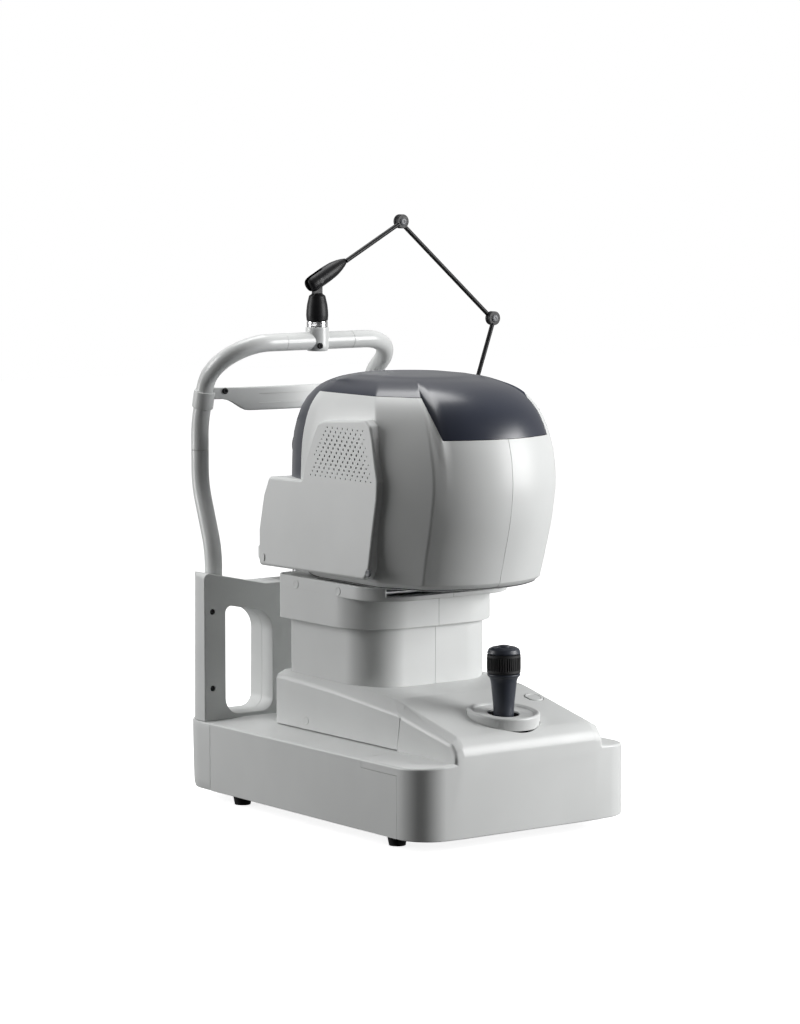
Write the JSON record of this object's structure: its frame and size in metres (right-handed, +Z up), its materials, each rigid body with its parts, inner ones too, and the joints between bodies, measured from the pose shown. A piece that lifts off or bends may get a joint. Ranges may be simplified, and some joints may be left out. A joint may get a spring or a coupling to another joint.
{
  "type": "ophthalmic eye scanner",
  "caption": "Table-top eye measuring instrument: a sliding measuring head on a lifting column, with joystick, head rest with forehead band and chin cup, and an articulated fixation lamp arm.",
  "frame": {"origin": "centre of the stance of the four rubber feet, on the table", "axes": "+Z up, +Y towards the patient, +X to the examiner's right"},
  "size_m": [0.3888, 0.445, 0.6267],
  "materials": {
    "shell": "satin",
    "tube_paint": "satin",
    "dark_cover": "semi-gloss",
    "grip": "satin",
    "black_rubber": "matte",
    "pad": "soft matte",
    "black_gloss": "gloss",
    "steel": "brushed",
    "bright_steel": "polished",
    "casting": "cast",
    "black_paint": "satin",
    "lens": "coated",
    "board": "solder mask",
    "device": "satin"
  },
  "bodies": {
    "base": {"base_pan": "device", "rubber_feet": "black_rubber", "front_cover": "shell", "side_panel_left": "shell", "side_panel_right": "shell", "rear_cover": "shell", "column_base_cover": "shell", "column_cover_left": "shell", "column_cover_right": "shell", "guide_rods": "steel", "lift_actuator": "device", "frame_front_cover": "shell", "frame_rear_cover": "shell", "frame_posts": "steel", "upright_tubes": "tube_paint", "arch_tubes": "tube_paint", "arch_fitting": "tube_paint", "lamp_ring": "bright_steel", "band_clamps": "tube_paint", "forehead_band": "shell", "forehead_pad": "pad", "chin_bush": "shell", "chin_motor": "device", "power_supply": "device", "main_board": "board", "power_inlet": "black_gloss", "switch_housing": "black_gloss", "joystick_bezel": "shell", "gimbal_yoke": "casting"},
    "lift": {"lift_carriage": "casting", "actuator_rod": "steel", "lift_platform": "casting", "collar_left": "shell", "collar_right": "shell", "slide_deck": "device"},
    "cross_stage": {"cross_carriage": "casting"},
    "head": {"optical_bench": "casting", "optics_housing": "black_paint", "lens_barrel": "black_paint", "objective_lens": "lens", "head_top_cover": "dark_cover", "head_cover_left": "shell", "head_cover_right": "shell", "side_shell_left": "shell", "side_shell_right": "shell"},
    "chin_rest": {"chin_post": "steel", "chin_cup": "shell"},
    "gimbal": {"gimbal_ring": "steel"},
    "joystick": {"joystick_stem": "grip", "joystick_cap": "grip"},
    "dial": {"height_dial": "black_rubber"},
    "trigger": {"trigger_button": "grip"},
    "start": {"start_button": "shell"},
    "switch": {"power_switch": "black_gloss"},
    "arm_swivel": {"lamp_socket": "black_gloss"},
    "arm_upper": {"lamp_clip": "black_gloss", "arm_link_1": "black_paint"},
    "arm_middle": {"arm_link_2": "black_paint"},
    "arm_lower": {"arm_link_3": "black_paint", "fixation_lamp": "black_gloss"}
  },
  "joints": [
    {"name": "lift_slide", "type": "slide", "parent": "base", "child": "lift", "axis": [0, 0, 1], "range_m": [-0.017, 0.015]},
    {"name": "cross_slide", "type": "slide", "parent": "lift", "child": "cross_stage", "axis": [1, 0, 0], "range_m": [-0.043, 0.043]},
    {"name": "reach_slide", "type": "slide", "parent": "cross_stage", "child": "head", "axis": [0, 1, 0], "range_m": [-0.02, 0.02]},
    {"name": "chin_slide", "type": "slide", "parent": "base", "child": "chin_rest", "axis": [0, 0, 1], "range_m": [-0.015, 0.03]},
    {"name": "joystick_pitch", "type": "hinge", "parent": "base", "child": "gimbal", "pos_m": [0, -0.166, 0.1], "axis": [1, 0, 0], "range_deg": [-8, 8], "stiffness_Nm_per_rad": 1.2},
    {"name": "joystick_roll", "type": "hinge", "parent": "gimbal", "child": "joystick", "pos_m": [0, -0.166, 0.1], "axis": [0, 1, 0], "range_deg": [-8, 8], "stiffness_Nm_per_rad": 1.2},
    {"name": "height_dial_turn", "type": "hinge", "parent": "joystick", "child": "dial", "pos_m": [0, -0.166, 0.178], "axis": [0, 0, 1], "continuous": true},
    {"name": "trigger_press", "type": "slide", "parent": "joystick", "child": "trigger", "axis": [0, 0, -1], "range_m": [0, 0.0015], "stiffness_N_per_m": 800, "springref_m": -0.001},
    {"name": "start_press", "type": "slide", "parent": "base", "child": "start", "axis": [0, 0, -1], "range_m": [0, 0.0015], "stiffness_N_per_m": 800, "springref_m": -0.001},
    {"name": "switch_rock", "type": "hinge", "parent": "base", "child": "switch", "pos_m": [0.081, 0.227, 0.045], "axis": [0, 0, 1], "range_deg": [0, 12]},
    {"name": "lamp_swivel", "type": "hinge", "parent": "base", "child": "arm_swivel", "pos_m": [0, 0.161, 0.513], "axis": [0, 0, 1], "range_deg": [-40, 180]},
    {"name": "lamp_tilt", "type": "hinge", "parent": "arm_swivel", "child": "arm_upper", "pos_m": [0, 0.161, 0.557], "axis": [0, 1, 0], "range_deg": [-60, 15]},
    {"name": "lamp_elbow", "type": "hinge", "parent": "arm_upper", "child": "arm_middle", "pos_m": [0.113, 0.161, 0.619], "axis": [0, 1, 0], "range_deg": [-50, 30]},
    {"name": "lamp_wrist", "type": "hinge", "parent": "arm_middle", "child": "arm_lower", "pos_m": [0.241, 0.161, 0.509], "axis": [0, 1, 0], "range_deg": [-60, 40]}
  ]
}
